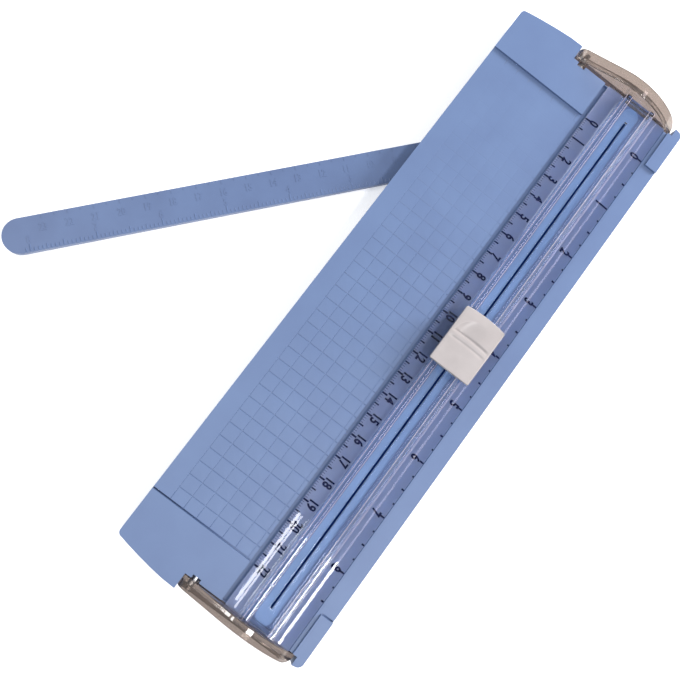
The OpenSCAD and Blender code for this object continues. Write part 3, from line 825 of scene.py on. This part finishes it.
# The grid lines crowd together at the edges, and a pair of them stands at each wall of the hollow.
cap_low, cap_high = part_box("slider_cap")
cap_half = (cap_high - cap_low) / 2
cap_y = (cap_low.y + cap_high.y) / 2
edge_steps = CAP_EDGE * (1 - np.cos(np.radians(np.linspace(0, 90, CAP_EDGE_STEPS))))
inner_x = np.linspace(0, cap_half.x - CAP_EDGE, CAP_X_STEPS)
inner_x = np.sort(np.append(inner_x, [CAP_HOLLOW - CAP_HOLLOW_STEP, CAP_HOLLOW]))
half_x = np.concatenate([inner_x, cap_half.x - edge_steps[-2::-1]])
cap_xs = np.concatenate([-half_x[:0:-1], half_x])
plain_y = np.linspace(-cap_half.y + CAP_EDGE, cap_half.y - CAP_EDGE, CAP_Y_STEPS)
cap_ys = np.concatenate([-cap_half.y + edge_steps[:-1], plain_y, cap_half.y - edge_steps[-2::-1]])
gx, gy = np.meshgrid(cap_xs, cap_ys, indexing="ij")

# The top: a bowl that deepens towards -X, two valleys beside the ridge, a slope and rounded edges.
radius = np.hypot(gx, gy - RIDGE_FAR)
bowl = SCOOP_DEPTH * np.clip(1 - (radius / SCOOP_R) ** 2, 0, None) * ((1 - gx / SCOOP_R) / 2) ** SCOOP_LEAN
bowl = bowl * ease((gy - RIDGE_FAR) / SCOOP_FACE + 0.5)
past_ridge = np.clip((RIDGE_NEAR - gy) / (RIDGE_NEAR + cap_half.y), 0, 1)
valley = sum(deep * np.exp(-((gy - place) / VALLEY_W) ** 2) for place, deep in VALLEYS)
fall = valley * ease((VALLEY_HALF - np.abs(gx)) / VALLEY_FADE) + SLOPE_DROP * past_ridge
cap_top = cap_high.z - bowl - fall
cap_top = cap_top - edge_drop(cap_half.x - np.abs(gx), CAP_EDGE)
cap_top = cap_top - edge_drop(cap_half.y - np.abs(gy), CAP_EDGE)
cap_under = np.where(np.abs(gx) < CAP_HOLLOW - CAP_HOLLOW_STEP / 2, CAP_CEILING, cap_low.z)
cap_points, cap_faces = slab(cap_xs, cap_ys, cap_under, np.maximum(cap_top, cap_under + CAP_SKIN))

# The outline: rounded corners, a skirt that is set in below, and a far end that bows with the thumb.
corner_in = edge_drop(cap_half.y - np.abs(cap_points[:, 1]), CAP_CORNER)
cap_points[:, 0] *= 1 - corner_in / cap_half.x
under = cap_points[:len(cap_points) // 2]
wall_share = np.clip((np.abs(under[:, 0]) - CAP_HOLLOW) / (cap_half.x - CAP_HOLLOW), 0, 1)
under[:, 0] -= np.sign(under[:, 0]) * SKIRT_SET[0] * wall_share
under[:, 1] *= 1 - SKIRT_SET[1] / cap_half.y
bent = ease((cap_points[:, 1] + cap_half.y) / (CAP_BEND_SPAN * cap_half.y))
cap_points[:, 1] += cap_y - CAP_BEND * bent * (cap_points[:, 0] / cap_half.x) ** 2
# White ABS: a faintly warm white with a soft gloss and next to no grain.
white_abs = moulded_plastic(
    "white ABS, gloss moulded", "#A39E9E", "#ADA8A8", roughness=0.36, grain=0.5 * MM, relief=0.0015 * MM,
    patch=9 * MM,
)
cap = make_piece("thumb_cap", cap_points, cap_faces, white_abs, "cutter_head", "white_plastic")
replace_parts(cap, "slider_cap")


# The working parts under the cap: a white acetal shoe in the track, the blade holder through it, the
# small steel blade with its cross pin and the leaf spring, which flattens as the head is pressed;
# here it is drawn in one shape.
ACETAL_EDGE = 0.15 * MM
SPRING_EDGE = 0.04 * MM
WORKING_LEAST = 0.8 * MM
DRAWN_LINE_W = 0.3 * MM
DRAWN_LINE_LENGTH = 8 * MM
STEEL_POLISH = 0.08
STEEL_DULL = 0.1


def bright_steel(name, dark, light, roughness):
    """Bright steel: drawn or ground, with fine lines along its length that change its gloss."""
    material, tree, coords = new_material(name)
    stretch = (1 / DRAWN_LINE_W, 1 / DRAWN_LINE_LENGTH, 1 / DRAWN_LINE_W)
    lines = add_node(tree, "Mapping", {"Scale": stretch}, {"Vector": coords})
    drawn = add_node(tree, "TexNoise", {"Scale": 1.0, "Detail": 3.0}, {"Vector": lines.outputs["Vector"]})
    tone = add_node(
        tree, "ValToRGB", {"stops": ((0.3, dark), (0.7, light))}, {"Fac": drawn.outputs["Fac"]}
    )
    gloss = add_node(
        tree, "MapRange", {"To Min": roughness - STEEL_POLISH, "To Max": roughness + STEEL_DULL},
        {"Value": drawn.outputs["Fac"]},
    )
    shader = add_node(
        tree, "BsdfPrincipled", {"Metallic": 1.0},
        {"Base Color": tone.outputs["Color"], "Roughness": gloss.outputs["Result"]},
    )
    finish_material(tree, shader)
    return material


# Acetal: a milky, slippery white with a low sheen.
white_acetal = moulded_plastic(
    "white acetal", "#DDDAD6", "#E6E3DF", roughness=0.42, grain=0.4 * MM, relief=0.004 * MM, patch=6 * MM
)
# Drawn steel: bright and grey, with streaks that follow its length.
bright = bright_steel("bright drawn steel", "#A9ABAE", "#C4C6C9", roughness=0.36)
for node, body in (("slider_shoe", "slider"), ("blade_holder", "cutter_head")):
    part_mesh = rounded_copy(node + "_body", node, ACETAL_EDGE, white_acetal, WORKING_LEAST)
    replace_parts(finish_piece(node + "_body", part_mesh, body), node)
for node in ("blade", "blade_pin"):
    frame["nodes"][node].data.materials.clear()
    frame["nodes"][node].data.materials.append(bright)
spring_mesh = rounded_copy("leaf_spring", "return_spring", SPRING_EDGE, bright, WORKING_LEAST)
spring = finish_piece("leaf_spring", spring_mesh, "slider")
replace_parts(spring, "return_spring")
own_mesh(spring)


# The hinge pins, the ruler's screw and its washer: bright steel, pressed or screwed into the plastic.
# Their edges are broken by a small round, as turned parts have.
PIN_EDGE = 0.12 * MM
PIN_LEAST = 0.02 * MM
for node, body in (
    ("hinge_pin_far", "rail"), ("hinge_pin_near", "rail"), ("ruler_screw", "base"), ("ruler_washer", "base"),
):
    steel_mesh = rounded_copy(node + "_steel", node, PIN_EDGE, bright, PIN_LEAST)
    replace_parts(finish_piece(node + "_steel", steel_mesh, body), node)


# The ruler: a flat blue ABS arm that turns on a pin under the deck. Its ticks and numbers are moulded
# a little proud of its face, centimetres along one edge and sixteenths of an inch along the other.
RULER_EDGE = 0.4 * MM
RULER_HALF = 7.0 * MM
RULER_REACH = 227.5 * MM
RULER_NUMBER_H = 2.9 * MM
RULER_CMS = (6, 24)
CM_OFFSET = 18.5 * MM
CM_MARK = 1.2 * MM
HALF_CM_MARK = 0.7 * MM
CM_FOOT_IN = 3.0 * MM
MARK_PROUD = 0.11 * MM
MARK_SINK = 0.05 * MM
MARK_W = 0.3 * MM
MARK_BOLD = 0.06 * MM
MARK_INSET = 0.15 * MM
COMB_START = 40 * MM
COMB_PROUD = 0.14 * MM
COMB_W = 0.85 * MM
COMB_CREST = 0.15
COMB_INCH, COMB_HALF, COMB_QUARTER, COMB_FINE = 2.6, 2.1, 1.7, 1.2
INCH_FOOT_IN = 3.6 * MM
READS, TOPS = (0, 1, 0), (-1, 0, 0)

# The ruler's blue: the base's ABS, a shade deeper and a touch glossier.
ruler_blue = moulded_plastic(
    "blue ABS, ruler moulding", "#56698F", "#5D7299", roughness=0.44, grain=0.4 * MM, relief=0.01 * MM
)
ruler_mesh = rounded_copy("ruler_body", "ruler_arm", RULER_EDGE, ruler_blue)
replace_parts(finish_piece("ruler_body", ruler_mesh, "ruler"), "ruler_arm")

# The marks are laid out on a ruler that points along -Y from its pivot, and then turned as it lies.
ruler_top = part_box("ruler_arm")[1].z
mark_z = (ruler_top - MARK_SINK, ruler_top + MARK_PROUD)
mark_mid = sum(mark_z) / 2
comb_z = (ruler_top - MARK_SINK, ruler_top + COMB_PROUD)
sixteenths = np.arange(COMB_START, RULER_REACH - RULER_HALF, INCH / 16)
order = np.arange(len(sixteenths))
comb_len = MM * np.select(
    [order % 16 == 0, order % 8 == 0, order % 4 == 0], [COMB_INCH, COMB_HALF, COMB_QUARTER], COMB_FINE
)
inch_edge = RULER_HALF - RULER_EDGE - MARK_INSET
mark_parts = []
for length in np.unique(comb_len):
    chosen = sixteenths[comb_len == length]
    mark_parts.append(ticks(-chosen, (inch_edge - length, inch_edge), COMB_W, comb_z, COMB_CREST))
ruler_cms = np.arange(*RULER_CMS)
cm_reach = CM * ruler_cms - CM_OFFSET
half_cm_reach = cm_reach[:-1] + CM / 2
cm_edge = -RULER_HALF + RULER_EDGE + MARK_INSET
mark_parts.append(ticks(-cm_reach, (cm_edge, cm_edge + CM_MARK), MARK_W, mark_z))
mark_parts.append(ticks(-half_cm_reach, (cm_edge, cm_edge + HALF_CM_MARK), MARK_W, mark_z))
cm_foot = cm_edge + CM_FOOT_IN + RULER_NUMBER_H
inch_foot = RULER_HALF - INCH_FOOT_IN
labels = [(count, cm_foot, reach) for count, reach in zip(ruler_cms, cm_reach)]
labels += [(count + 1, inch_foot, reach) for count, reach in enumerate(sixteenths[::16])]
for count, foot_x, reach in labels:
    digits = number_solid(count, RULER_NUMBER_H, MARK_PROUD + MARK_SINK, MARK_BOLD)
    mark_parts.append(laid(digits, READS, TOPS, (foot_x, -reach, mark_mid)))
mark_points, mark_faces = joined(mark_parts)
swing = joint("ruler_swing")
pivot = np.array(swing["pos_m"])
open_turn = math.radians(swing["range_deg"][0])
c, s = math.cos(open_turn), math.sin(open_turn)
mark_points = mark_points @ np.array([[c, s, 0], [-s, c, 0], [0, 0, 1]]) + [pivot[0], pivot[1], 0]
make_piece("ruler_marks", mark_points, mark_faces, ruler_blue, "ruler", "blue_plastic")
